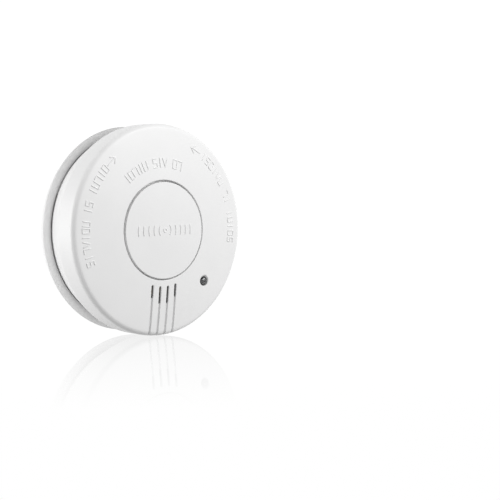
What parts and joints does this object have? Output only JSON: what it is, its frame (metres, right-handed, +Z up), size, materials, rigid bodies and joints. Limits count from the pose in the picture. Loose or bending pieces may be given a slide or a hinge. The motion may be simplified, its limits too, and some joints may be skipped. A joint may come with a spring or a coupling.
{
  "type": "smoke detector",
  "caption": "Round white battery smoke alarm with a large flush test button, sounder slots and an indicator light, on a twist-off mounting plate.",
  "frame": {"origin": "centre of the mounting plate's flat back face, which lies on the wall or ceiling", "axes": "-Y straight out of the wall, towards the front of the alarm; +Z up; +X to the right seen from the front"},
  "size_m": [0.1008, 0.0355, 0.1008],
  "materials": {
    "white_plate": "fine satin moulded plastic",
    "white_shell": "satin moulded plastic, very fine spark texture",
    "smoked_clear": "clear smoked polycarbonate",
    "component_ceramic": "fired ceramic",
    "board_green": "solder mask over glass laminate",
    "black_plastic": "matt moulded plastic",
    "steel": "zinc plated steel",
    "infrared_lens": "tinted clear resin",
    "brass": "rolled brass",
    "spring_brass": "plated spring brass",
    "capacitor_sleeve": "drawn aluminium can",
    "coil_copper": "enamelled copper winding under lacquer",
    "resistor_body": "lacquered resistor body",
    "battery_jacket": "printed steel jacket",
    "nickel": "nickel plate",
    "red_pvc": "soft PVC insulation",
    "black_pvc": "soft PVC insulation"
  },
  "bodies": {
    "wall_plate": {"mounting_plate": "white_plate"},
    "alarm": {"rear_chassis": "white_shell", "front_cover": "white_shell", "light_pipe": "smoked_clear", "status_led": "component_ceramic", "circuit_board": "board_green", "chamber_base": "black_plastic", "chamber_labyrinth": "black_plastic", "insect_screen": "steel", "infrared_emitter": "infrared_lens", "photodiode": "black_plastic", "horn_housing": "black_plastic", "piezo_disc": "brass", "piezo_ceramic": "component_ceramic", "horn_contact_left": "spring_brass", "horn_contact_right": "spring_brass", "tact_switch_body": "black_plastic", "control_chip": "black_plastic", "capacitor_large": "capacitor_sleeve", "capacitor_small": "capacitor_sleeve", "horn_coil": "coil_copper", "resistor_1": "resistor_body", "resistor_2": "resistor_body", "resistor_3": "resistor_body", "battery_case": "battery_jacket", "battery_positive_terminal": "nickel", "battery_negative_terminal": "nickel", "positive_contact": "spring_brass", "negative_contact": "spring_brass", "red_lead": "red_pvc", "black_lead": "black_pvc", "cover_screw_top": "steel", "cover_screw_left": "steel", "cover_screw_right": "steel", "board_screw_left": "steel", "board_screw_right": "steel"},
    "button": {"test_button": "white_shell"},
    "plunger": {"tact_switch_plunger": "black_plastic"}
  },
  "joints": [
    {"name": "alarm_twist", "type": "hinge", "parent": "wall_plate", "child": "alarm", "pos_m": [0, 0, 0], "axis": [0, -1, 0], "range_deg": [0, 15]},
    {"name": "button_press", "type": "slide", "parent": "alarm", "child": "button", "axis": [0, 1, 0], "range_m": [0, 0.001], "stiffness_N_per_m": 2500},
    {"name": "plunger_press", "type": "slide", "parent": "alarm", "child": "plunger", "axis": [0, 1, 0], "range_m": [0, 0.0003]}
  ],
  "couplings": [
    {"joint": "plunger_press", "follows": "button_press", "ratio": 0.25}
  ]
}
